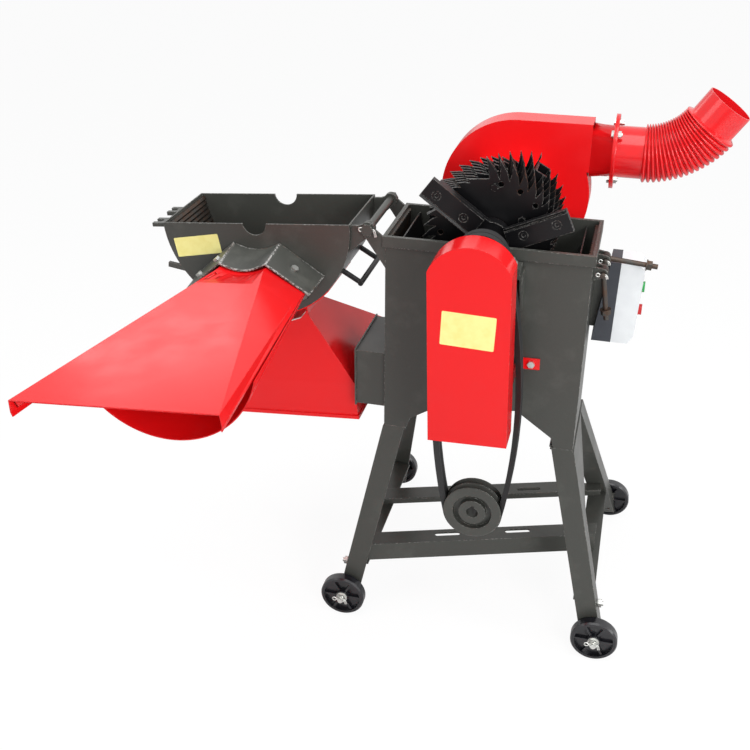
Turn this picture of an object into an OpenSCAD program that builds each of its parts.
/* [Casing] */
// Width of the casing, left to right
body_w = 400; // [385:5:420]
// Depth of the casing, front to back
body_d = 195; // [185:5:205]
// Height of the rotor axis and of the casing's rim above the floor
shaft_z = 956; // [900:2:1000]
// Height of the casing's bottom corners above the floor
corner_z = 527; // [500:1:540]
// Thickness of the casing and cover plates
plate_t = 3; // [2:0.5:4]
// Height of the flat bar round the rim
rim_h = 22; // [16:1:30]
// Thickness of the flat bar round the rim
rim_t = 5; // [3:0.5:6]
// Radius of the half-round shaft notches in casing and cover
notch_r = 25; // [21:1:30]
// Thickness of the ribbed wear liners
liner_t = 8; // [6:0.5:10]

/* [Stand] */
// Width of the leg angle iron
leg_size = 45; // [40:1:50]
// Thickness of the leg angle iron
leg_t = 4; // [3:0.5:5]
// How far each leg splays outwards
leg_splay = 12.3; // [8:0.1:15]
// How far the rear legs lean back
leg_lean = 34; // [30:0.5:36]
// Radius of the wheels
wheel_r = 52; // [45:1:56]
// Width of the wheels
wheel_w = 26; // [20:1:30]
// Radius of the wheel axle bolts
axle_r = 6; // [5:0.5:8]
// Height of the top of the side rails
rail_z = 140; // [130:2:160]
// Width of the motor bars' angle iron
bar_size = 45; // [40:1:50]
// How far the motor bars are turned from the casing's front
bar_skew = 19; // [10:1:22]
// Length of each motor slot
slot_len = 60; // [40:2:80]

/* [Drive] */
// Radius of the rotor shaft between its journals
shaft_r = 17.5; // [16:0.5:19]
// Radius of the shaft in its bearings and pulley
journal_r = 12.5; // [10:0.5:15]
// Radius of the driven pulley on the rotor
driven_r = 50; // [45:1:56]
// Radius of the motor pulley
motor_r = 61; // [52:1:66]
// How far the motor pulley hangs below the rotor axis
motor_drop = 560; // [520:5:600]
// Radius of the motor pulley's bore
motor_bore_r = 12.5; // [9:0.5:14]
// Width of a belt across its outer face
belt_w = 17; // [15:0.5:18]
// Height of a belt's section
belt_h = 11; // [9:0.5:12]
// Distance between the two belts
belt_pitch = 19; // [18.5:0.5:22]
// How far the slack belts stand out on each side at mid span
belt_bulge = 88; // [82:1:96]
// Running gap between belts and grooves
belt_gap = 0.4; // [0.3:0.1:0.6]
// Radial clearance of running bores
running_gap = 0.04; // [0.02:0.01:0.08]

/* [Rotor] */
// Radius swept by the knife tips
knife_r = 160; // [150:1:164]
// Width of a knife
knife_w = 45; // [38:1:50]
// Thickness of a knife
knife_t = 12; // [8:1:12]
// Radius of the claw discs at their tallest claws
claw_r = 146; // [130:1:155]
// Number of claw discs
disc_count = 6; // [4:1:6]
// Distance from one claw disc to the next
disc_pitch = 22; // [18:1:22]
// Thickness of a claw disc
disc_t = 5; // [3:0.5:6]
// Number of teeth in each third of a claw disc
teeth_count = 11; // [8:1:12]
// Radius of the blower wheel
impeller_r = 140; // [120:1:145]

/* [Blower] */
// Radius of the blower housing
fan_r = 158; // [152:1:162]
// Depth of the blower housing
fan_d = 66; // [56:1:72]
// Distance from the casing's rear plate to the blower housing
fan_gap = 102.5; // [90:0.5:120]
// Radius of the spout pipe
pipe_r = 52.5; // [45:0.5:56]
// Radius of the bend of the ribbed elbow
elbow_r = 152; // [140:1:170]
// Angle of the ribbed elbow
elbow_angle = 56; // [40:1:70]
// Number of ribs on the elbow
rib_count = 18; // [12:1:22]
// Height of the elbow's ribs
rib_h = 7; // [4:0.5:8]

/* [Cover and hoppers] */
// Angle between the closed and the open cover
open_angle = 184.6; // [170:0.1:185]
// Half width of the chute tray at its mouth
tray_w = 178; // [150:1:190]
// How far the chute's mouth stands out in front of the cover
tray_reach = 630; // [500:5:680]
// Half width of the grain hopper's mouth
hopper_w = 170; // [150:1:174]
// Height of the grain hopper's mouth above the rotor axis
hopper_z = 456; // [420:2:460]
// Thickness of the red sheet
sheet_t = 2; // [1.5:0.5:3]

/* [Hidden] */
$fn = 64;

// where the casing's centre stands from the middle of the whole machine
place_x = 120.2;
place_y = 124.7;

half_w = body_w / 2;
half_d = body_d / 2;
in_w = half_w - plate_t;
in_d = half_d - plate_t;
rim_gap = 1;

// sloped floor inside the casing and the outlet it leads to
floor_left_z = 569;
floor_slope = 0.19;
window_top_z = 689;
window_d = 83;
duct_l = 64;
duct_wall = 3;
duct_lip = 7;
duct_lip_t = 3;

// legs
leg_top_z = corner_z - 4;
leg_corner_x = half_w + 3;
leg_end_z = 26;
leg_end_plate = 4;
axle_head_r = axle_r + 1.6;
axle_inset = leg_t + axle_head_r + 0.9;
splay_slope = tan(leg_splay);
lean_slope = tan(leg_lean) / cos(leg_splay);
rear_leg_y = half_d - 22;
axle_x = leg_corner_x + (leg_top_z - wheel_r) * splay_slope - axle_inset;
rear_plate_y = rear_leg_y + (leg_top_z - leg_end_z) * lean_slope + 11;
gusset_l = 180;
tab_w = 48;
tab_t = 4;
tab_bolt_in = 24;
frame_bolt_r = 5;
tab_bolts_y = [-half_d + tab_bolt_in, rear_leg_y - 3 * frame_bolt_r];

// rails and motor bars
rail_size = 45;
rail_t = 4;
rail_x = leg_corner_x + (leg_top_z - rail_z) * splay_slope - leg_t / cos(leg_splay) - 0.1;
rail_rear_y = rear_leg_y + (leg_top_z - rail_z + rail_size) * lean_slope;
bar_t = 4;
bar_top_z = rail_z + bar_size;
bar_front_y = 0;
bar_rear_y = 188;
bar_end_x = rail_x - 14;
slot_at = [-64, 103];
slot_in = 27.5;
slot_r = 6;

// drive
drive_y = -half_d - 46.5;
drive_w = 2 * belt_pitch + 2;
belt_mid_y = drive_y - drive_w / 2;
groove_angle = 20;
belt_proud = 1;
motor_x = 12;
belt_top_r = driven_r + belt_proud;
belt_low_r = motor_r + belt_proud;
shelf_t = 8;
shelf_z = shaft_z - 36.5;
shelf_w = 75;
shelf_d = 44.5;
block_w = 140;
block_d = 38;
block_t = 13;
block_r = 35;
block_bolt_x = 52.5;
front_block_y = -half_d - 25.5;
guard_y = -half_d - 154.5;
guard_d = 66;
guard_w = 77;
guard_crest = 52;
guard_arch_r = 84;
guard_foot_z = 605;
guard_lean = 1.9;
guard_x = -8;

// blower
fan_y = half_d + fan_gap;
fan_x = 8;
fan_lift = 7;
fan_wall = 2.5;
fan_end_x = 160;
outlet_h = 100;
eye_r = 62;
pipe_z = shaft_z + fan_lift + fan_r - 60;
pipe_y = fan_y + fan_d / 2 + 1;
flange_x = 203;
flange_r = 76;
flange_t = 4;
flange_bolt_r = 4;
flange_bolt_at = 66;
pipe_wall = 2;
elbow_x = 264;
end_len = 54;
rear_block_y = fan_y + fan_d + 25;
suction_w = 70;
suction_low_z = 650;
suction_top_z = shaft_z + 74;
window_w = 60;
suction_window = [660, 775];

// rotor
hub_y = -72;
hub_t = 12;
hub_r = 38;
hub_len = 25;
knife_y = hub_y - knife_t;
knife_root = 35;
arm_w = 36;
knife_offset = 13;
knife_angles = [143.8, 23.8, -96.2];
screw_r = 5;
screw_at = [68, 134];
disc_y = -40;
disc_root_r = 112;
disc_twist = -7;
disc_start = 96;
hole_ring_r = 99;
paddle_y = 15;
paddle_len = 57;
paddle_w = 26;
paddle_t = 4;
paddle_r = 138;
paddle_root = 66;
paddle_angles = [55, 175, 295];
paddle_tilt = 5.5;
paddle_flange = 22;
tie_bolt_at = [[97, 90], [66, 33], [97, 210], [66, 153], [97, 330], [66, 273]];
spacer_r = 30;

// cover, drawn closed and swung open about the hinge
drum_r = half_w;
hinge_x = -half_w - 36;
hinge_z = shaft_z + 9;
pin_r = 8;
ear_t = 6;
ear_r = 14;
ear_out = half_d - 0.5;
collar_reach = 87;
collar_t = 3;
tray_low = 59.2;
tray_w0 = 47.2;
chute_bolt_r = 4;
hood_reach = 463;
hood_r0 = 128;
hood_r1 = 171;
hood_axis_z = 57;
hood_edge_z = 113;
hood_edge_z1 = 103.5;
neck_w = 77;
neck_y = [-55, 45];
hopper_y = [-68, 264];
neck_top_z = 216;
crease_z = 371;
gate_z = 205;
gate_t = 2.5;
gate_out = 112;
handle_r = 5.5;
handle_y = 67;

// swing bolts and switch
swing_r = 5;
swing_len = 100;
swing_x = half_w + 19;
swing_z = shaft_z - 40;
swing_front_y = -70;
swing_rear_y = 0;
swing_rest = [-171, -95];
switch_y = [half_d - 79.5, half_d - 3.5];
switch_low_z = 727;
switch_top_z = 900;
switch_x = half_w + 50;
button_r = 11;
button_travel = 3;

grey = "#55564f";
red = "#e8242a";
black = "#222224";
steel = "#b9bab8";

// General helpers

module place() translate([place_x, place_y, 0]) children();

module on_axis() place() translate([0, 0, shaft_z]) children();

// children are drawn as on the closed cover, with z from the rotor axis
module on_cover() {
    place() translate([hinge_x, 0, hinge_z]) rotate([0, -open_angle, 0])
        translate([-hinge_x, 0, shaft_z - hinge_z]) children();
}

// a flat outline in x and z, given a length along y
module along_y(y0, len) {
    translate([0, y0 + len, 0]) rotate([90, 0, 0]) linear_extrude(len) children();
}

module rod_y(x, z, y0, len, r) {
    translate([x, y0, z]) rotate([-90, 0, 0]) cylinder(h = len, r = r);
}

module hex_y(x, z, y0, len, r) {
    translate([x, y0, z]) rotate([-90, 0, 0]) cylinder(h = len, r = r, $fn = 6);
}

module block(x, y, z) {
    translate([x[0], y[0], z[0]]) cube([x[1] - x[0], y[1] - y[0], z[1] - z[0]]);
}

// a closed skin through rings that each have the same number of points
module loft(rings, sheet = false) {
    n = len(rings[0]);
    last = len(rings) - 1;
    ends = sheet ? [for (j = [0:n / 2 - 2]) [j, j + 1, n - 2 - j, n - 1 - j]] : [[for (j = [0:n - 1]) j]];
    points = [for (ring = rings) for (p = ring) p];
    sides = [for (i = [0:last - 1]) for (j = [0:n - 1]) for (half = [0, 1])
        let (a = i * n + j, b = i * n + (j + 1) % n)
            half == 0 ? [a, b, b + n] : [a, b + n, a + n]];
    polyhedron(points, concat(
        [for (end = ends) [for (j = [len(end) - 1:-1:0]) end[j]]], sides,
        [for (end = ends) [for (j = end) last * n + j]]
    ), convexity = 6);
}

function unit(v) = v / norm(v);

// a polyline in x and z moved sideways by t, square to its own run
function side_step(line, t) = [for (i = [0:len(line) - 1])
    let (
        a = line[max(i - 1, 0)],
        b = line[min(i + 1, len(line) - 1)],
        d = unit(b - a)
    ) line[i] + t * [-d[1], d[0]]];

// the closed ring of a bent sheet of thickness t at one y
function sheet_ring(line, t, y) = [
    for (p = concat(line, [for (i = [len(line) - 1:-1:0]) side_step(line, t)[i]])) [p[0], y, p[1]]
];

function arc_line(cx, cz, r, a0, a1, n) = [for (i = [0:n])
    let (a = a0 + (a1 - a0) * i / n) [cx + r * cos(a), cz + r * sin(a)]];

// a hexagon-headed bolt standing on z = 0 with its shank down
module bolt_down(r, shank) {
    cylinder(h = 1.3 * r, r = 1.96 * r, $fn = 6);
    translate([0, 0, -shank]) cylinder(h = shank, r = r);
}

// Casing

notch_outline = [[-152, corner_z], [-144, corner_z + 24], [-100, corner_z + 52],
    [79, corner_z + 76], [153, corner_z + 23], [160, corner_z]];

module end_plate(y0) {
    along_y(y0, plate_t) polygon(concat(
        [[-half_w, shaft_z], [-half_w, corner_z]], notch_outline,
        [[half_w, corner_z], [half_w, shaft_z]]
    ));
}

module tab_holes() {
    for (x = [-1, 1], y = tab_bolts_y)
        translate([x * (half_w - tab_bolt_in), y, leg_top_z - 6])
            cylinder(h = 30, r = frame_bolt_r + 0.5);
}

module lower_casing() color(grey) difference() {
    casing_body();
    on_guard() guard_strap_holes();
}

module casing_body() place() difference() {
    union() {
        end_plate(-half_d);
        end_plate(half_d - plate_t);
        for (x = [-half_w, in_w])
            block([x, x + plate_t], [-in_d, in_d], [corner_z, shaft_z]);
        along_y(-in_d, 2 * in_d) polygon([
            [-in_w, floor_left_z], [in_w, floor_left_z + 2 * in_w * floor_slope],
            [in_w, floor_left_z + 2 * in_w * floor_slope + plate_t], [-in_w, floor_left_z + plate_t]
        ]);
        for (x = [-1, 1], y = [-1, 1])
            translate([x > 0 ? in_w - tab_w + plate_t : -in_w, y > 0 ? in_d - tab_w : -in_d,
                corner_z]) cube([tab_w - plate_t, tab_w, tab_t]);
    }
    block([-half_w - 1, -in_w + 1], [-window_d, window_d], [floor_left_z + plate_t, window_top_z]);
    block([-window_w, window_w], [in_d - 1, half_d + 1], suction_window);
    rod_y(0, shaft_z, -half_d - 1, body_d + 2, notch_r);
    tab_holes();
}

module casing_rim() place() color(grey) difference() {
    block([-half_w - rim_t, half_w + rim_t], [-half_d - rim_t, half_d + rim_t], [shaft_z - rim_h, shaft_z]);
    block([-half_w, half_w], [-half_d, half_d], [shaft_z - rim_h - 1, shaft_z + 1]);
    rod_y(0, shaft_z, -half_d - rim_t - 1, body_d + 2 * rim_t + 2, notch_r);
    block([-suction_w, suction_w], [half_d, half_d + rim_t + 1], [shaft_z - rim_h - 1, shaft_z + 1]);
}

// ribs of a wear liner, as a saw-toothed strip standing on a flat back
liner_pitch = 12;
liner_low_z = shaft_z - 150;
liner_top_z = shaft_z - 6;

function saw_line(span, pitch, low, high) = [for (i = [0:floor(span / pitch) - 1])
    each [[low, i * pitch], [high, i * pitch + pitch / 2]]];

module liner() {
    span = 2 * in_d - 12;
    linear_extrude(liner_top_z - liner_low_z) polygon(concat(
        saw_line(span, liner_pitch, liner_t - 3, liner_t),
        [[liner_t - 3, span], [0, span], [0, 0]]
    ));
}

module casing_liners() place() color("#6a4a44") {
    translate([-in_w, -in_d + 6, liner_low_z]) liner();
    translate([in_w, in_d - 6, liner_low_z]) rotate([0, 0, 180]) liner();
}

screen_r = 172;
screen_t = 2.5;
screen_hole_r = 7;

module screen() place() color(black) translate([0, 0, shaft_z]) difference() {
    rod_y(0, 0, -in_d, 2 * in_d, screen_r + screen_t);
    rod_y(0, 0, -in_d - 1, 2 * in_d + 2, screen_r);
    block([-screen_r - 9, screen_r + 9], [-in_d - 1, in_d + 1], [-14, screen_r + 9]);
    for (a = [200:20:340], y = [-60:40:60])
        rotate([0, -a, 0]) translate([screen_r - 9, y, 0]) rotate([0, 90, 0])
            cylinder(h = 20, r = screen_hole_r);
}

module outlet_duct() place() color(grey) {
    x0 = -half_w - duct_l;
    d = window_d;
    z = [floor_left_z - 3, window_top_z + duct_wall];
    difference() {
        union() {
            block([x0, -half_w], [-d - duct_wall, d + duct_wall], z);
            block([x0 - duct_lip_t, x0], [-d - duct_lip, d + duct_lip], [z[0] - 4, z[1] + 4]);
        }
        block([x0 - duct_lip_t - 1, -half_w + 1], [-d, d], [floor_left_z, window_top_z]);
    }
}

// Stand

// an angle iron with its corner on the z axis and its flanges along -x and +y
module angle_iron(size, t, low, high) {
    translate([0, 0, low]) linear_extrude(high - low) polygon([
        [0, 0], [0, size], [-t, size], [-t, t], [-size, t], [-size, 0]
    ]);
}

module leg_top_plate() {
    translate([-tab_w + 2, 0, leg_top_z]) cube([tab_w - 2, tab_w, tab_t]);
}

// right-hand front leg, drawn with its top corner at x = leg_corner_x
module front_leg() {
    difference() {
        union() {
            difference() {
                translate([leg_corner_x, -half_d, leg_top_z]) rotate([0, -leg_splay, 0]) {
                    angle_iron(leg_size, leg_t, -560, 40);
                    translate([-leg_t, 0, 0]) rotate([90, 0, 90]) linear_extrude(leg_t) polygon([
                        [leg_size - 1, 5], [leg_size - 1, -gusset_l], [rear_leg_y + half_d - 6, 0],
                        [rear_leg_y + half_d - 6, 5]
                    ]);
                }
                block([0, 600], [-300, 300], [leg_top_z, leg_top_z + 100]);
                block([0, 600], [-300, 300], [-100, leg_end_z]);
            }
            translate([half_w, -half_d, 0]) leg_top_plate();
        }
        rod_y(axle_x, wheel_r, -half_d - 1, leg_t + 2, axle_r + 0.3);
        tab_holes();
        rail_bolt_hole(-half_d + 26);
    }
}

module rear_leg() {
    difference() {
        union() {
            difference() {
                translate([leg_corner_x, rear_leg_y, leg_top_z]) rotate([leg_lean, -leg_splay, 0])
                    angle_iron(leg_size, leg_t, -640, 40);
                block([0, 600], [-300, 900], [leg_top_z, leg_top_z + 100]);
                block([0, 600], [-300, 900], [-100, leg_end_z]);
            }
            translate([half_w, half_d - tab_w, 0]) leg_top_plate();
            block([axle_x - 24, axle_x + axle_inset], [rear_plate_y, rear_plate_y + leg_end_plate],
                [leg_end_z, wheel_r + 26]);
        }
        block([0, 600], [rear_plate_y + leg_end_plate, 900], [-100, 3 * wheel_r]);
        rod_y(axle_x, wheel_r, rear_plate_y - 30, 60, axle_r + 0.3);
        tab_holes();
    }
}

module rail_bolt_hole(y) {
    translate([rail_x - 20, y, rail_z - 20]) rotate([0, 90, 0]) cylinder(h = 60, r = frame_bolt_r + 0.5);
}

module mirrored() mirror([1, 0, 0]) children();

module leg_front_right() place() color(grey) front_leg();
module leg_front_left() place() color(grey) mirrored() front_leg();
module leg_rear_right() place() color(grey) rear_leg();
module leg_rear_left() place() color(grey) mirrored() rear_leg();

module side_rail() {
    y0 = -half_d + leg_t + 0.2;
    difference() {
        union() {
            block([rail_x - rail_t, rail_x], [y0, rail_rear_y], [rail_z - rail_size, rail_z]);
            block([rail_x - rail_size, rail_x], [y0, rail_rear_y], [rail_z - rail_t, rail_z]);
        }
        behind_rear_leg();
        rail_bolt_hole(-half_d + 26);
    }
}

// everything behind the front face of the right rear leg
module behind_rear_leg() {
    translate([leg_corner_x, rear_leg_y, leg_top_z]) rotate([leg_lean, -leg_splay, 0])
        translate([-200, 0, -700]) cube([400, 400, 800]);
}

module side_rails() place() color(grey) {
    side_rail();
    mirrored() side_rail();
}

// a motor bar, clipped between the rails; its upright is in front, or behind if flipped
module motor_bar(y, flip) {
    in_y = flip ? bar_size - slot_in : slot_in;
    intersection() {
        translate([0, y, bar_top_z]) rotate([0, 0, bar_skew]) difference() {
            union() {
                block([-400, 400], flip ? [bar_size - bar_t, bar_size] : [0, bar_t], [-bar_size, 0]);
                block([-400, 400], [0, bar_size], [-bar_t, 0]);
            }
            for (s = slot_at, e = [-1, 1])
                translate([s + e * (slot_len / 2 - slot_r), in_y, -bar_t - 1]) cylinder(h = bar_t + 2, r = slot_r);
            for (s = slot_at)
                block([s - slot_len / 2 + slot_r, s + slot_len / 2 - slot_r], [in_y - slot_r, in_y + slot_r],
                    [-bar_t - 1, 1]);
        }
        block([-bar_end_x, bar_end_x], [-200, 500], [rail_z, bar_top_z]);
    }
}

module motor_bars() place() color(grey) {
    motor_bar(bar_front_y, false);
    difference() {
        motor_bar(bar_rear_y, true);
        behind_rear_leg();
    }
}

// a bolt with its head on z = 0, its shank up and a nut with its underside at nut_z
module bolt_and_nut(r, shank, nut_z) {
    translate([0, 0, -1.3 * r]) cylinder(h = 1.3 * r, r = 1.96 * r, $fn = 6);
    cylinder(h = shank, r = r);
    translate([0, 0, nut_z]) cylinder(h = 1.6 * r, r = 1.96 * r, $fn = 6);
}

module frame_bolts() place() color(steel) {
    for (x = [-1, 1], y = tab_bolts_y)
        translate([x * (half_w - tab_bolt_in), y, leg_top_z])
            bolt_and_nut(frame_bolt_r, 32, 2 * tab_t);
    for (x = [0, 1]) mirror([x, 0, 0]) translate([rail_x - rail_t, -half_d + 26, rail_z - 20])
        rotate([0, 90, 0]) bolt_and_nut(frame_bolt_r, 26, rail_t + leg_t + 6);
    for (x = [-1, 1], y = [front_block_y, rear_block_y])
        translate([x * block_bolt_x, y, shelf_z - shelf_t])
            bolt_and_nut(frame_bolt_r, shelf_t + block_t + 14, shelf_t + block_t);
}

// Wheels

module wheel(y0) {
    rim_w = 9;
    disc_w = 8;
    hub_radius = 15;
    translate([0, y0, wheel_r]) rotate([-90, 0, 0]) {
        rotate_extrude() polygon([
            [axle_r + running_gap, 0], [hub_radius, 0], [hub_radius, (wheel_w - disc_w) / 2],
            [wheel_r - rim_w, (wheel_w - disc_w) / 2], [wheel_r - rim_w, 0], [wheel_r - 3, 0],
            [wheel_r, 4], [wheel_r, wheel_w - 4], [wheel_r - 3, wheel_w], [wheel_r - rim_w, wheel_w],
            [wheel_r - rim_w, (wheel_w + disc_w) / 2], [hub_radius, (wheel_w + disc_w) / 2],
            [hub_radius, wheel_w], [axle_r + running_gap, wheel_w]
        ]);
        for (a = [0:60:359]) rotate([0, 0, a])
            translate([hub_radius - 2, -2.5, 3]) cube([wheel_r - rim_w - hub_radius + 4, 5, wheel_w - 6]);
    }
}

front_wheel_y = -half_d - 1.5 - wheel_w;
rear_wheel_y = rear_plate_y + leg_end_plate + 1.5;

module wheel_front_left() place() color(black) translate([-axle_x, 0, 0]) wheel(front_wheel_y);
module wheel_front_right() place() color(black) translate([axle_x, 0, 0]) wheel(front_wheel_y);
module wheel_rear_left() place() color(black) translate([-axle_x, 0, 0]) wheel(rear_wheel_y);
module wheel_rear_right() place() color(black) translate([axle_x, 0, 0]) wheel(rear_wheel_y);

module axle_bolt(y0, len, head_y) {
    rod_y(0, wheel_r, y0, len, axle_r);
    rod_y(0, wheel_r, head_y, 4, axle_head_r);
}

module wheel_axles() place() color(steel) for (x = [-1, 1]) translate([x * axle_x, 0, 0]) {
    axle_bolt(front_wheel_y - 17, wheel_w + 17 + 1.5 + leg_t + 1, -half_d + leg_t);
    axle_bolt(rear_plate_y - 1, wheel_w + 17 + 1.5 + leg_end_plate + 1, rear_plate_y - 4);
}

// a castle nut with its split pin; dir is -1 in front and 1 behind
module castle_nut(y0, dir) {
    translate([0, y0, wheel_r]) rotate([-90 * dir, 0, 0]) difference() {
        union() {
            cylinder(h = 1.5, r = 13);
            translate([0, 0, 1.5]) cylinder(h = 7, r = 10.4, $fn = 6);
            translate([0, 0, 8.5]) cylinder(h = 3.5, r = 8.4);
        }
        translate([0, 0, -1]) cylinder(h = 20, r = axle_r + 0.02);
        for (a = [0:60:120]) rotate([0, 0, a]) translate([-12, -1.4, 9]) cube([24, 2.8, 5]);
    }
}

module wheel_fasteners() place() color(steel) for (x = [-1, 1]) translate([x * axle_x, 0, 0]) {
    castle_nut(front_wheel_y - 0.6, -1);
    castle_nut(rear_wheel_y + wheel_w + 0.6, 1);
}

// Bearings and brackets

module pillow_block(y) {
    difference() {
        union() {
            block([-block_w / 2, block_w / 2], [y - block_d / 2, y + block_d / 2], [shelf_z, shelf_z + block_t]);
            rod_y(0, shaft_z, y - 15, 30, block_r);
            block([-30, 30], [y - 13, y + 13], [shelf_z + 1, shaft_z - 12]);
            rod_y(0, shaft_z, y - 18, 36, 19);
        }
        rod_y(0, shaft_z, y - 40, 80, journal_r + running_gap);
        for (x = [-1, 1]) translate([x * block_bolt_x, y, shelf_z - 1])
            cylinder(h = block_t + 2, r = frame_bolt_r + 0.5);
    }
}

module bearings() place() color(grey) {
    pillow_block(front_block_y);
    pillow_block(rear_block_y);
}

// shelf with two gussets; from is the plate it is welded to, dir the way it stands out
module shelf(from, dir, bolt_y) {
    drop = 84;
    difference() {
        union() {
            translate([0, dir > 0 ? from : from - shelf_d, shelf_z - shelf_t]) translate([-shelf_w, 0, 0])
                cube([2 * shelf_w, shelf_d, shelf_t]);
            for (x = [-shelf_w, shelf_w - rim_t]) translate([x, from, shelf_z - shelf_t])
                rotate([90, 0, 90]) linear_extrude(rim_t)
                    polygon([[0, 0.2], [dir * (shelf_d - 3), 0.2], [dir * (shelf_d - 3), -8], [0, -drop]]);
        }
        for (x = [-1, 1]) translate([x * block_bolt_x, bolt_y, shelf_z - shelf_t - 1])
            cylinder(h = shelf_t + 2, r = frame_bolt_r + 0.5);
    }
}

module bearing_brackets() place() color(grey) {
    shelf(-half_d, -1, front_block_y);
    shelf(fan_y + fan_d, 1, rear_block_y);
}

// Belt drive

function circle_meet(a, b, ra, rb) =
    let (d = norm(b - a), s = (d * d + ra * ra - rb * rb) / (2 * d), h = sqrt(ra * ra - s * s), u = (b - a) / d)
        a + s * u + h * [-u[1], u[0]];

rotor_centre = [0, 0];
motor_centre = [motor_x, -motor_drop];
// radius of the side runs, chosen so that they stand out by belt_bulge
run_drop = motor_drop / 2;
run_sag = belt_bulge - (belt_top_r + belt_low_r) / 2;
run_r = (run_drop * run_drop + run_sag * run_sag) / (2 * run_sag) + (belt_top_r + belt_low_r) / 2;
// the centre of the left run lies far to the right, and the other way round
run_left_centre = circle_meet(rotor_centre, motor_centre, run_r - belt_top_r, run_r - belt_low_r);
run_right_centre = circle_meet(motor_centre, rotor_centre, run_r - belt_low_r, run_r - belt_top_r);

function heading(a, b) = atan2(b[1] - a[1], b[0] - a[0]);

// sections of a belt along one arc whose outer face has radius r
function belt_rings(centre, r, a0, a1, n, y) = [for (i = [0:n - 1])
    let (
        a = a0 + (a1 - a0) * i / n,
        side = belt_w / 2 - belt_h * tan(groove_angle),
        inner = centre + (r - belt_h) * [cos(a), sin(a)],
        outer = centre + r * [cos(a), sin(a)]
    ) [
        [inner[0], y + side, inner[1]], [outer[0], y + belt_w / 2, outer[1]],
        [outer[0], y - belt_w / 2, outer[1]], [inner[0], y - side, inner[1]]
    ]];

// the belt is slack, so each side run is part of a big circle
module belt(y) {
    side_run = [heading(run_left_centre, rotor_centre), heading(run_left_centre, motor_centre) + 360];
    top_run = heading(run_right_centre, rotor_centre);
    low_run = heading(run_right_centre, motor_centre) + 360;
    rings = concat(
        belt_rings(rotor_centre, belt_top_r, top_run, side_run[0], 26, y),
        belt_rings(run_left_centre, run_r, side_run[0], side_run[1], 16, y),
        belt_rings(motor_centre, belt_low_r, side_run[1], low_run, 30, y),
        belt_rings(run_right_centre, run_r, low_run, top_run + 360, 16, y)
    );
    n = len(rings);
    points = [for (ring = rings) for (p = ring) p];
    translate([0, 0, shaft_z]) polyhedron(points, [for (i = [0:n - 1]) for (j = [0:3])
        [4 * i + j, 4 * i + (j + 1) % 4, 4 * ((i + 1) % n) + (j + 1) % 4, 4 * ((i + 1) % n) + j]]);
}

module drive_belt_front() place() color(black) belt(belt_mid_y - belt_pitch / 2);
module drive_belt_rear() place() color(black) belt(belt_mid_y + belt_pitch / 2);

// pulley profile with two grooves; the wheel is drawn from y0 towards +y
function groove(r, mid) = let (
        half = belt_w / 2 + belt_gap / cos(groove_angle),
        top = half - belt_proud * tan(groove_angle),
        deep = belt_h - belt_proud + 1.5
    ) [[r, mid - top], [r - deep, mid - top + deep * tan(groove_angle)],
        [r - deep, mid + top - deep * tan(groove_angle)], [r, mid + top]];

module pulley(r, bore, recess) {
    w = drive_w;
    difference() {
        rotate([-90, 0, 0]) rotate_extrude($fn = 96) polygon(concat(
            [[bore, -w / 2], [r - 2, -w / 2], [r, -w / 2 + 0.8]],
            groove(r, -belt_pitch / 2), groove(r, belt_pitch / 2),
            [[r, w / 2 - 0.8], [r - 2, w / 2], [bore, w / 2]]
        ));
        if (recess > 0) for (s = [-1, 1])
            rotate([s > 0 ? 90 : -90, 0, 0]) translate([0, 0, w / 2 - recess]) difference() {
                cylinder(h = recess + 1, r = r - 20);
                translate([0, 0, -1]) cylinder(h = recess + 3, r = bore + 16);
            }
        block([-4, 4], [-w, w], [0, bore + 3.3]);
    }
}

module rotor_pulley() on_axis() translate([0, belt_mid_y, 0]) color(grey) pulley(driven_r, journal_r, 0);

module motor_pulley() on_axis() translate([motor_x, belt_mid_y, -motor_drop]) color(grey)
    pulley(motor_r, motor_bore_r, 12);

// Belt guard

module guard_outline(inset) {
    crest = guard_crest - inset;
    half = guard_w - inset;
    arch = guard_arch_r - inset;
    intersection() {
        translate([-half, guard_foot_z - shaft_z - inset]) square([2 * half, 600]);
        union() {
            translate([0, guard_crest - guard_arch_r]) circle(r = arch);
            translate([-half, -600]) square([2 * half, 600 + guard_crest - guard_arch_r + 20]);
        }
    }
}

module belt_guard() on_guard() color(red) difference() {
    along_y(guard_y, guard_d) guard_outline(0);
    along_y(guard_y + sheet_t, guard_d) guard_outline(sheet_t);
    block([-guard_w + sheet_t, guard_w - sheet_t], [guard_y + sheet_t, guard_y + 200],
        [guard_foot_z - shaft_z - 10, 0]);
}

// children are drawn in the frame of the leaning guard
module on_guard() on_axis() translate([guard_x, 0, 0]) rotate([0, -guard_lean, 0]) children();

strap_t = 3;
strap_w = 24;
strap_right_x = guard_w - sheet_t;
strap_left_x = -54;
strap_bolts = [[101, -243], [-86, -156]];

module guard_strap_holes() {
    for (b = strap_bolts) rod_y(b[0], b[1], -half_d - 6, 12, flange_bolt_r + 0.5);
}

// flat straps that run forward inside the belts and carry the guard
module guard_straps() on_guard() color(red) difference() {
    union() {
        for (i = [0, 1]) let (z = strap_bolts[i][1], zs = [z - strap_w / 2, z + strap_w / 2])
            if (i == 0) {
                block([strap_right_x - strap_t, 118], [-half_d - strap_t, -half_d], zs);
                block([strap_right_x - strap_t, strap_right_x], [guard_y + 42, -half_d], zs);
            } else {
                block([-104, strap_left_x], [-half_d - strap_t, -half_d], zs);
                block([strap_left_x - strap_t, strap_left_x], [guard_y + 61, -half_d], zs);
                block([-strap_right_x, strap_left_x], [guard_y + 58, guard_y + 61], zs);
                block([-strap_right_x, strap_t - strap_right_x], [guard_y + 34, guard_y + 61], zs);
            }
    }
    guard_strap_holes();
}

// Blower

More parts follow.
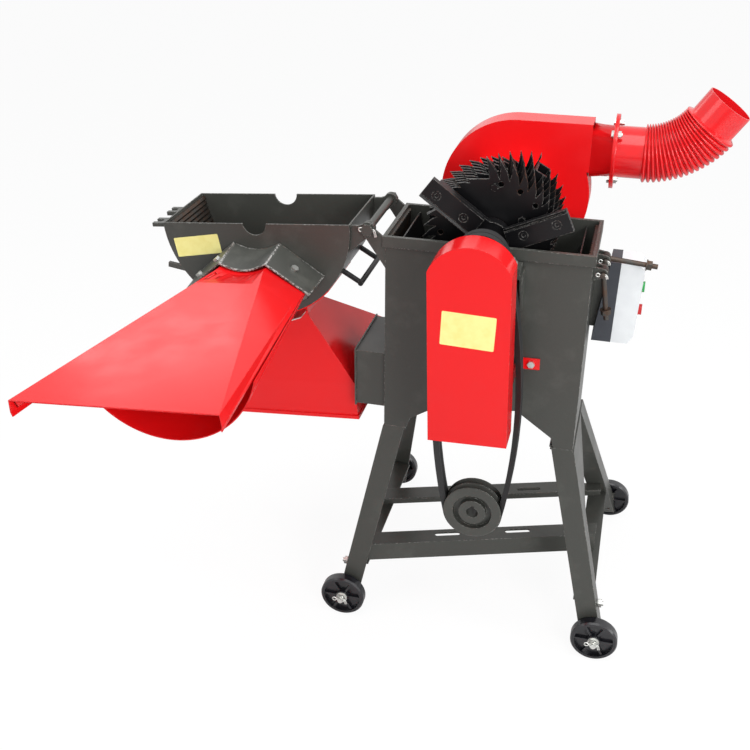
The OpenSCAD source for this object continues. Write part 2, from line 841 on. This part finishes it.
module fan_outline(inset) {
    r = fan_r - inset;
    translate([fan_x, fan_lift]) circle(r = r, $fn = 128);
    translate([fan_x, fan_lift + fan_r - outlet_h + inset])
        square([fan_end_x - fan_x + (inset > 0 ? 1 : 0), outlet_h - 2 * inset]);
}

module fan_housing() on_axis() color(red) difference() {
    along_y(fan_y, fan_d) fan_outline(0);
    along_y(fan_y + fan_wall, fan_d - 2 * fan_wall) fan_outline(fan_wall);
    rod_y(0, 0, fan_y - 1, fan_wall + 2, eye_r);
    rod_y(0, 0, fan_y + fan_d - fan_wall - 1, fan_wall + 2, shaft_r + 3);
}

// a square ring with eased corners and slightly full sides
function box_ring(x, hy, hz, n) = [for (i = [0:n - 1])
    let (a = 45 + 360 * i / n, c = cos(a), s = sin(a), k = pow(pow(abs(c), 9) + pow(abs(s), 9), -1 / 9))
        [x, pipe_y + hy * s * k, pipe_z + hz * c * k]];

function round_ring(x, r, n) = [for (i = [0:n - 1])
    let (a = 45 + 360 * i / n) [x, pipe_y + r * sin(a), pipe_z + r * cos(a)]];

// the square mouth of the fan narrows to the round pipe, and its bore steps inside the flange
module fan_outlet() place() color(red) {
    n = 32;
    seat_x = flange_x + flange_t / 2;
    inner_r = pipe_r - pipe_wall;
    mouth_y = fan_d / 2 + 1;
    mouth_z = outlet_h / 2 + 1.5;
    difference() {
        union() {
            loft([box_ring(fan_end_x, mouth_y, mouth_z, n), round_ring(flange_x + 1, pipe_r, n)]);
            flange_plate(flange_x);
        }
        loft([box_ring(fan_end_x - 1, mouth_y - sheet_t, mouth_z - sheet_t, n),
            round_ring(seat_x + 1, inner_r - 0.6, n)]);
        translate([seat_x, pipe_y, pipe_z]) rotate([0, 90, 0]) cylinder(h = flange_t, r = inner_r);
    }
}

module flange_plate(x) {
    translate([x, pipe_y, pipe_z]) rotate([0, 90, 0]) difference() {
        cylinder(h = flange_t, r = flange_r);
        for (a = [45:90:315]) rotate([0, 0, a]) translate([flange_bolt_at, 0, -1])
            cylinder(h = flange_t + 2, r = flange_bolt_r + 0.5);
    }
}

module pipe_flange(x) difference() {
    flange_plate(x);
    translate([x - 1, pipe_y, pipe_z]) rotate([0, 90, 0]) cylinder(h = flange_t + 2, r = pipe_r - pipe_wall);
}

// a ring of the spout at bend angle a and radius r, pushed on along its axis
function spout_ring(a, r, push, n) = [for (i = [0:n - 1])
    let (
        t = 360 * i / n,
        out = elbow_r - r * cos(t)
    ) [elbow_x + out * sin(a) + push * cos(a), pipe_y + r * sin(t),
        pipe_z + elbow_r - out * cos(a) + push * sin(a)]];

module spout_elbow() place() color(red) {
    n = 24;
    step = elbow_angle / rib_count;
    x0 = flange_x + flange_t;
    ribs = [for (k = [0:rib_count - 1]) each [
        spout_ring((k + 0.1) * step, pipe_r, 0, n),
        spout_ring((k + 0.45) * step, pipe_r + rib_h, 0, n),
        spout_ring((k + 0.65) * step, pipe_r + rib_h, 0, n)
    ]];
    end_r = pipe_r - 3;
    difference() {
        loft(concat(
            [spout_ring(0, pipe_r, x0 - elbow_x, n)], ribs,
            [spout_ring(elbow_angle, end_r, 2, n), spout_ring(elbow_angle, end_r, end_len, n)]
        ));
        loft(concat(
            [spout_ring(0, pipe_r - pipe_wall, x0 - elbow_x - 1, n)],
            [for (k = [0:8]) spout_ring(k * elbow_angle / 8, end_r - pipe_wall, 0, n)],
            [spout_ring(elbow_angle, end_r - pipe_wall, end_len + 1, n)]
        ));
    }
    pipe_flange(flange_x + flange_t);
}

module small_bolts() color(steel) {
    place() translate([flange_x, pipe_y, pipe_z]) rotate([0, 90, 0])
        for (a = [45:90:315]) rotate([0, 0, a]) translate([flange_bolt_at, 0, 0])
            bolt_and_nut(flange_bolt_r, 2 * flange_t + 9, 2 * flange_t);
    on_guard() for (b = strap_bolts) translate([b[0], -half_d - strap_t, b[1]]) rotate([-90, 0, 0])
        bolt_and_nut(flange_bolt_r, strap_t + plate_t + 9, strap_t + plate_t);
}

module suction_duct() place() color(red) difference() {
    union() {
        block([-suction_w, suction_w], [half_d, half_d + 2.5], [suction_low_z, suction_window[1] + 10]);
        block([-suction_w, suction_w], [half_d + 2.5, fan_y], [suction_low_z, suction_top_z]);
    }
    block([-window_w, window_w], [half_d - 1, half_d + 6], suction_window);
    block([-suction_w + fan_wall, suction_w - fan_wall], [half_d + 2.5 + fan_wall, fan_y + 1],
        [suction_low_z + fan_wall, suction_top_z - fan_wall]);
    rod_y(0, shaft_z, half_d, 20, notch_r);
}

// Hinge, swing bolts and switch

module hinge_ears() place() color(grey) for (s = [-1, 1])
    translate([0, s > 0 ? ear_out - ear_t : -ear_out, 0]) difference() {
        along_y(0, ear_t) union() {
            translate([hinge_x, hinge_z]) circle(r = ear_r);
            polygon([[-half_w - rim_t, shaft_z - 4], [-half_w - rim_t, shaft_z - rim_h],
                [-half_w, shaft_z - rim_h], [-half_w, shaft_z - 68],
                [hinge_x - 12, hinge_z - 7], [hinge_x - 2, hinge_z + 13.8]]);
        }
        rod_y(hinge_x, hinge_z, -1, ear_t + 2, pin_r + running_gap);
    }

module hinge_pin() place() color(steel) {
    rod_y(hinge_x, hinge_z, -ear_out - 4, 2 * ear_out + 8, pin_r);
    for (y = [-ear_out - 7, ear_out + 1]) hex_y(hinge_x, hinge_z, y, 6, 13);
}

// clevis cheeks of the two swing bolts, on the casing's right wall
module swing_brackets() place() color(grey) for (y = [swing_front_y, swing_rear_y])
    for (s = [-1, 1]) difference() {
        along_y(y + (s > 0 ? 8 : -13), 5) union() {
            translate([swing_x, swing_z]) circle(r = 9);
            polygon([[half_w, swing_z - 16], [swing_x + 3, swing_z - 8.4], [swing_x + 9, swing_z],
                [swing_x + 3, swing_z + 8.4], [half_w, swing_z + 12]]);
        }
        rod_y(swing_x, swing_z, y - 20, 40, swing_r + running_gap);
    }

// an eye bolt with its pivot at the origin, pointing along +z
module swing_bolt(rest) {
    rotate([0, -rest, 0]) {
        rod_y(0, 0, -14.5, 29, swing_r);
        difference() {
            rod_y(0, 0, -7, 14, 9.5);
            rod_y(0, 0, -15, 30, swing_r);
        }
        translate([0, 0, 8]) cylinder(h = swing_len - 8, r = swing_r);
        translate([0, 0, swing_len - 22]) cylinder(h = 2, r = 11);
        translate([0, 0, swing_len - 20]) cylinder(h = 9, r = 9.8, $fn = 6);
    }
}

module swing_bolt_front() place() color("#6b665c") translate([swing_x, swing_front_y, swing_z])
    swing_bolt(swing_rest[0]);
module swing_bolt_rear() place() color("#6b665c") translate([swing_x, swing_rear_y, swing_z])
    swing_bolt(swing_rest[1]);

module switch_bracket() place() color(grey) along_y(switch_y[0] + 20, 36)
    polygon([[half_w, 750], [half_w, 885], [half_w + 27.4, 885], [half_w + 10.5, 750]]);

module switch_base() place() color("#3d4148") along_y(switch_y[0], switch_y[1] - switch_y[0])
    polygon([[half_w + 8, switch_low_z], [half_w + 47, switch_low_z], [switch_x, switch_top_z],
        [half_w + 30, switch_top_z]]);

module switch_cover() place() color("#eceeef") difference() {
    along_y(switch_y[0] + 1, switch_y[1] - switch_y[0] - 2) hull() {
        polygon([[half_w + 47.2, switch_low_z], [switch_x + 0.2, switch_top_z - 1], [switch_x + 20, switch_top_z - 1],
            [half_w + 80, switch_low_z]]);
        translate([half_w + 79, switch_top_z - 20]) circle(r = 18);
        translate([half_w + 83, switch_low_z + 20]) circle(r = 8);
    }
    for (z = button_z) translate([button_x - 30, button_y, z]) rotate([0, 90, 0])
        cylinder(h = 60, r = button_r + 0.3);
}
button_y = (switch_y[0] + switch_y[1]) / 2;
button_z = [790, 840];
button_x = half_w + 97;

module button(z, tone) place() color(tone) translate([button_x - 14, button_y, z]) rotate([0, 90, 0])
    cylinder(h = 18, r = button_r);

module start_button() button(button_z[1], "#2f9a4a");
module stop_button() button(button_z[0], "#c92a2a");

// Rotor

module rotor_shaft() on_axis() color(steel) difference() {
    union() {
        rod_y(0, 0, belt_mid_y - drive_w / 2 - 4, rear_block_y + 23 - belt_mid_y + drive_w / 2 + 4, journal_r);
        rod_y(0, 0, -half_d - 3, fan_y + fan_d + half_d + 6, shaft_r);
    }
    block([-4, 4], [belt_mid_y - drive_w / 2 - 10, belt_mid_y + drive_w / 2], [journal_r - 4, journal_r + 2]);
}

module knife_hub() on_axis() color(black) difference() {
    union() {
        along_y(hub_y, hub_t) union() {
            circle(r = hub_r);
            for (a = knife_angles) rotate(a) translate([0, -knife_offset - 16]) square([knife_r - 14, arm_w]);
        }
        rod_y(0, 0, hub_y + 1, hub_len - 1, hub_r);
    }
    rod_y(0, 0, hub_y - 1, hub_len + 2, shaft_r);
    for (a = knife_angles, s = screw_at) rotate([0, -a, 0])
        rod_y(s, -knife_offset / 2, hub_y - 1, hub_t + 2, screw_r + 0.5);
}

module knife(a) {
    rotate([0, -a, 0]) difference() {
        block([knife_root, knife_r], [knife_y, hub_y],
            [-knife_offset / 2 - knife_w / 2, -knife_offset / 2 + knife_w / 2]);
        translate([0, knife_y - 0.1, -knife_offset / 2 + knife_w / 2]) rotate([30, 0, 0])
            translate([0, -20, -6]) cube([200, 20, 20]);
        for (s = screw_at) {
            rod_y(s, -knife_offset / 2, knife_y - 1, knife_t + 2, screw_r + 0.5);
            rod_y(s, -knife_offset / 2, knife_y - 1, 5, 9);
        }
    }
}

module knives() on_axis() color("#2b2a2c") for (a = knife_angles) knife(a);

module rotor_bolts() on_axis() color("#77736c") {
    for (a = knife_angles, s = screw_at) rotate([0, -a, 0]) {
        difference() {
            rod_y(s, -knife_offset / 2, knife_y + 0.6, 3.4, 8.5);
            hex_y(s, -knife_offset / 2, knife_y - 1, 3.6, 4);
        }
        rod_y(s, -knife_offset / 2, knife_y + 3.9, knife_t + hub_t + 4, screw_r);
        hex_y(s, -knife_offset / 2, hub_y + hub_t, 7, 9);
    }
    for (b = tie_bolt_at) rotate([0, -b[1], 0]) {
        rod_y(b[0], 0, disc_y - 6, disc_pitch * (disc_count - 1) + disc_t + 14, 4);
        hex_y(b[0], 0, disc_y - 6.5, 6.5, 7.5);
        hex_y(b[0], 0, disc_y + disc_pitch * (disc_count - 1) + disc_t, 6.5, 7.5);
    }
}

// outline of a third of a claw disc: tall hooked claws that fall to small saw teeth
function claw_third(start) = [for (i = [0:teeth_count - 1])
    let (
        fall = i / teeth_count,
        pitch = 110 / teeth_count,
        a = start - i * pitch,
        tall = (claw_r - disc_root_r) * pow(1 - fall, 1.6) + 9
    ) each [
        disc_root_r * [cos(a), sin(a)],
        (disc_root_r + tall * 0.6) * [cos(a + 0.5), sin(a + 0.5)],
        (disc_root_r + tall) * [cos(a + 1.5), sin(a + 1.5)],
        (disc_root_r + tall * 0.45) * [cos(a - pitch * 0.55), sin(a - pitch * 0.55)]
    ]];

module claw_disc(k) {
    y = disc_y + k * disc_pitch;
    difference() {
        along_y(y, disc_t) difference() {
            rotate(disc_twist * k) polygon([for (s = [0:2]) each claw_third(disc_start - 120 * s)]);
            circle(r = shaft_r);
            for (s = [0:2], h = [0:2]) rotate(disc_twist * k + disc_start - 120 * s - 12 - 22 * h)
                translate([hole_ring_r + 4, 0]) circle(r = 5.5);
            for (b = tie_bolt_at) rotate(b[1]) translate([b[0], 0]) circle(r = 4.2);
        }
        if (y + disc_t > paddle_y) for (a = paddle_angles) rotate([0, -a, 0])
            translate([paddle_r, 0, 0]) rotate([0, -paddle_tilt, 0])
                block([paddle_root - paddle_r, 60], [paddle_y, paddle_y + paddle_len + 20],
                    [-paddle_w / 2, paddle_w / 2]);
    }
}

module claw_discs() on_axis() color("#1d1d1f") for (k = [0:disc_count - 1]) claw_disc(k);

module disc_spacers() on_axis() color(black) {
    for (k = [0:disc_count - 1]) difference() {
        rod_y(0, 0, disc_y + k * disc_pitch + disc_t, disc_pitch - disc_t, spacer_r);
        rod_y(0, 0, disc_y + k * disc_pitch, disc_pitch + disc_t, shaft_r);
    }
    difference() {
        rod_y(0, 0, hub_y + hub_len, disc_y - hub_y - hub_len, spacer_r);
        rod_y(0, 0, hub_y, 60, shaft_r);
    }
}

module paddles() on_axis() color("#2a2a2c") for (a = paddle_angles) rotate([0, -a, 0])
    translate([paddle_r, paddle_y, 0]) rotate([0, -paddle_tilt, 0])
        translate([paddle_root - paddle_r, 0, 0]) difference() {
            block([0, paddle_r - paddle_root], [0, paddle_len], [-paddle_w / 2, paddle_w / 2]);
            block([8, paddle_r], [paddle_t, paddle_len - paddle_t], [-paddle_w / 2 - 1, paddle_w / 2 - paddle_t]);
        }

module fan_impeller() on_axis() color(black) difference() {
    union() {
        rod_y(0, 0, fan_y + 12, 45, 32);
        rod_y(0, 0, fan_y + fan_d - 14, 4, impeller_r - 20);
        for (a = [20:90:290]) rotate([0, -a, 0])
            block([20, impeller_r], [fan_y + 8, fan_y + fan_d - 10], [-2.5, 2.5]);
    }
    rod_y(0, 0, fan_y, fan_d, shaft_r);
}

// Cover

module cover_shell() on_cover() color(grey) difference() {
    rod_y(0, 0, -half_d, body_d, drum_r);
    rod_y(0, 0, -in_d, 2 * in_d, drum_r - plate_t);
    block([-drum_r - 1, drum_r + 1], [-half_d - 1, half_d + 1], [-drum_r - 1, rim_gap]);
    rod_y(0, 0, -half_d - 1, body_d + 2, notch_r);
    along_y(-half_d - 1, plate_t + 2) feed_window();
    block([-neck_w + 3, neck_w - 3], [neck_y[0] + 3, neck_y[1] - 3], [100, drum_r + 10]);
}

module feed_window() {
    intersection() {
        polygon([[-38, 66], [38, 66], [100, 115], [100, 190], [-100, 190], [-100, 115]]);
        circle(r = drum_r - 14);
    }
}

// ribs along the inside of the drum's free end
module cover_liner() on_cover() color("#4c4644") {
    count = 8;
    step = 3;
    r = drum_r - plate_t;
    line = [for (i = [0:count - 1]) each [
        (r - liner_t + 3) * [cos(2 + i * step), sin(2 + i * step)],
        (r - liner_t) * [cos(2 + (i + 0.5) * step), sin(2 + (i + 0.5) * step)]
    ]];
    end = 2 + count * step;
    along_y(-in_d, 2 * in_d) intersection() {
        circle(r = r, $fn = 180);
        polygon(concat(line, [(r - liner_t + 3) * [cos(end), sin(end)], (r + 9) * [cos(end), sin(end)],
            (r + 9) * [cos(2), sin(2)]]));
    }
}

module cover_brackets() on_cover() color(grey) {
    for (s = [-1, 1]) translate([0, s > 0 ? ear_out - 2 * ear_t - 1 : -ear_out + ear_t + 1, 0]) difference() {
        along_y(0, ear_t) difference() {
            union() {
                translate([hinge_x, hinge_z - shaft_z]) circle(r = ear_r);
                polygon([[hinge_x - 6, hinge_z - shaft_z - 12.6], [hinge_x + 20, 4], [-drum_r + 6, 4],
                    [-drum_r + 24, 72], [hinge_x - 4, hinge_z - shaft_z + 13.4]]);
            }
            circle(r = drum_r, $fn = 180);
        }
        rod_y(hinge_x, hinge_z - shaft_z, -1, ear_t + 2, pin_r + running_gap);
    }
    for (y = [swing_front_y, swing_rear_y]) clamp_fork(y);
    for (y = [-half_d, half_d - 8]) difference() {
        along_y(y, 8) polygon([[drum_r - 32, 96], [drum_r + 4, 88], [drum_r + 6, 98],
            [drum_r - 36, 108]]);
        rod_y(0, 0, y - 1, 10, drum_r);
    }
}

// forked plate on the cover's free edge that a swing bolt drops into
module clamp_fork(y) {
    difference() {
        block([drum_r - 2, swing_x + 12], [y - 17, y + 17], [6, 14]);
        rod_y(0, 0, y - 20, 40, drum_r);
        translate([swing_x, y, 0]) cylinder(h = 30, r = swing_r + 2);
        block([swing_x, swing_x + 20], [y - swing_r - 2, y + swing_r + 2], [0, 30]);
    }
}

handle_root = (drum_r - 0.2) * [cos(146.9), sin(146.9)];
handle_grip = handle_root + [-36.5, 25];

module cover_handle() on_cover() color(black) difference() {
    union() {
        for (y = [-handle_y, handle_y]) {
            d = handle_grip - handle_root;
            translate([handle_root[0], y, handle_root[1]]) rotate([0, atan2(d[0], d[1]), 0])
                cylinder(h = norm(d), r = handle_r);
        }
        rod_y(handle_grip[0], handle_grip[1], -handle_y - handle_r, 2 * (handle_y + handle_r), handle_r);
    }
    rod_y(0, 0, -half_d, body_d, drum_r);
}

// the grey collar under the chute, bent from one sheet: corner x and z, crest z, end x and z
collar_root = [49, 43, 57, 137, 112];
collar_lip = [47.5, 54.5, 69, 132, 117];

// a straight run between two corners that bows out by dip in its middle
function bowed(x, z, dip) = [for (i = [0:8]) let (t = i / 4 - 1) [x * t, z + dip * (1 - t * t)]];

function collar_line(c) = concat([[-c[3], c[4]]], bowed(c[0], c[1], c[2] - c[1]), [[c[3], c[4]]]);

module feed_collar() on_cover() color(grey) difference() {
    loft([
        sheet_ring(collar_line(collar_root), -collar_t, -half_d),
        sheet_ring(collar_line(collar_lip), -collar_t, -half_d - collar_reach)
    ], sheet = true);
    chute_bolts() chute_bolt_hole();
}

function tray_line(v) = concat(
    [[-v[5], v[6]], [-v[3], v[4]]], bowed(v[0], v[1], v[2]), [[v[3], v[4]], [v[5], v[6]]]
);

// the tray's sheet is pressed in below the collar's crest and flat from there to its mouth
module feed_chute() on_cover() color(red) {
    y = [-half_d - 35, -half_d - collar_reach - 8, -half_d - collar_reach - 76, -half_d - tray_reach];
    top = [47, tray_low, 6, 108, 107, 117, 112];
    mouth = [tray_w, tray_low + 10, 0, tray_w + 2, 91, tray_w, 99];
    straight = top + (mouth - top) * (y[1] - y[0]) / (y[3] - y[0]);
    lip = [48.5, straight[1], 12.5, straight[3], straight[4], straight[5], straight[6]];
    past = lip + (mouth - lip) * (y[2] - y[1]) / (y[3] - y[1]);
    flat = [past[0], past[1], 0, past[3], past[4], past[5], past[6]];
    lines = [top, lip, flat, mouth];
    difference() {
        loft([for (i = [0:3]) sheet_ring(tray_line(lines[i]), sheet_t, y[i])], sheet = true);
        chute_bolts() chute_bolt_hole();
    }
}

// a half cone that stands over the tray, with its lower edges on a sloping plane
module chute_hood() on_cover() color(red) {
    y0 = -half_d - 1;
    len = hood_reach - 1;
    slope = atan((hood_edge_z - hood_edge_z1) / len);
    difference() {
        translate([0, y0, hood_axis_z]) rotate([90, 0, 0]) rotate_extrude($fn = 96)
            polygon([[hood_r0 - sheet_t, 0], [hood_r0, 0], [hood_r1, len], [hood_r1 - sheet_t, len]]);
        translate([0, y0, hood_edge_z]) rotate([slope, 0, 0])
            translate([-300, -2 * len, -400]) cube([600, 3 * len, 400]);
    }
}

// Grain hopper

function hopper_ring(w, y, z, inset) = [
    [-w + inset, y[1] - inset, z], [w - inset, y[1] - inset, z],
    [w - inset, y[0] + inset, z], [-w + inset, y[0] + inset, z]
];

module grain_hopper() on_cover() color(red) difference() {
    union() {
        loft([hopper_ring(neck_w, neck_y, neck_top_z, 0), hopper_ring(hopper_w, hopper_y, crease_z, 0),
            hopper_ring(hopper_w, hopper_y, hopper_z, 0)]);
        block([-hopper_w - 3, hopper_w + 3], [hopper_y[0] - 3, hopper_y[1] + 3], [hopper_z - 8, hopper_z]);
    }
    loft([hopper_ring(neck_w, neck_y, neck_top_z - 0.1, sheet_t),
        hopper_ring(hopper_w, hopper_y, crease_z, sheet_t), hopper_ring(hopper_w, hopper_y, hopper_z + 1, sheet_t)]);
}

module hopper_neck() on_cover() color(red) difference() {
    union() {
        difference() {
            block([-neck_w, neck_w], neck_y, [140, neck_top_z]);
            block([-neck_w + sheet_t, neck_w - sheet_t], [neck_y[0] + sheet_t, neck_y[1] - sheet_t],
                [139, neck_top_z + 1]);
            block([-neck_w + sheet_t, neck_w - sheet_t], [neck_y[0] - 1, neck_y[0] + 3],
                [gate_z - 0.3, gate_z + gate_t + 0.3]);
        }
        for (s = [-1, 1]) block(s > 0 ? [neck_w - 9, neck_w - 1] : [-neck_w + 1, -neck_w + 9],
            [neck_y[0] + 1, neck_y[1] - 1], [gate_z + gate_t + 0.3, gate_z + gate_t + 3.3]);
        intersection() {
            difference() {
                rod_y(0, 0, -half_d, half_d + neck_y[1] + 20, drum_r + sheet_t + 0.2);
                block([-neck_w + 3, neck_w - 3], [neck_y[0] + 3, neck_y[1] - 3], [100, drum_r + 10]);
            }
            block([-143, 143], [-half_d - 1, half_d], [100, drum_r + 10]);
        }
    }
    rod_y(0, 0, -half_d - 1, body_d + 2, drum_r + 0.2);
}

module hopper_gate() on_cover() color(steel) difference() {
    block([-neck_w + sheet_t + 1, neck_w - sheet_t - 1], [-gate_out, neck_y[1] - sheet_t - 0.5],
        [gate_z, gate_z + gate_t]);
    for (s = [-1, 1]) translate([s * (neck_w - sheet_t - 1), -gate_out, gate_z - 1]) rotate([0, 0, 45])
        translate([-14, -14, 0]) cube([28, 28, gate_t + 2]);
    translate([0, -gate_out + 14, gate_z - 1]) cylinder(h = gate_t + 2, r = 8);
}

// places what is drawn along z at each bolt that joins the chute to the collar, whose twisted
// left side stands a little prouder
module chute_bolts() {
    in_y = 45;
    c = collar_root + (collar_lip - collar_root) * in_y / collar_reach;
    rise = (c[4] - c[1]) / (c[3] - c[0]);
    for (x = [68, 112, -90])
        translate([x, -half_d - in_y, c[1] + rise * (abs(x) - c[0])])
            rotate([0, sign(x) * (180 - atan(rise)), 0]) rotate([6.5, 0, 0])
                translate([0, 0, x < 0 ? 0.8 : 0]) children();
}

module chute_bolt_hole() translate([0, 0, -30]) cylinder(h = 60, r = chute_bolt_r + 0.5);

module cover_bolts() on_cover() color(steel) chute_bolts() translate([0, 0, collar_t]) bolt_down(chute_bolt_r, 22);

lower_casing();
casing_rim();
casing_liners();
screen();
outlet_duct();
leg_front_left();
leg_front_right();
leg_rear_left();
leg_rear_right();
side_rails();
motor_bars();
frame_bolts();
wheel_axles();
wheel_fasteners();
bearings();
bearing_brackets();
belt_guard();
guard_straps();
drive_belt_front();
drive_belt_rear();
suction_duct();
fan_housing();
fan_outlet();
spout_elbow();
small_bolts();
hinge_ears();
hinge_pin();
swing_brackets();
switch_bracket();
switch_base();
switch_cover();
start_button();
stop_button();
rotor_shaft();
rotor_pulley();
knife_hub();
knives();
rotor_bolts();
claw_discs();
disc_spacers();
paddles();
fan_impeller();
motor_pulley();
cover_shell();
cover_liner();
cover_brackets();
cover_handle();
feed_collar();
feed_chute();
chute_hood();
grain_hopper();
hopper_neck();
cover_bolts();
hopper_gate();
swing_bolt_front();
swing_bolt_rear();
wheel_front_left();
wheel_front_right();
wheel_rear_left();
wheel_rear_right();
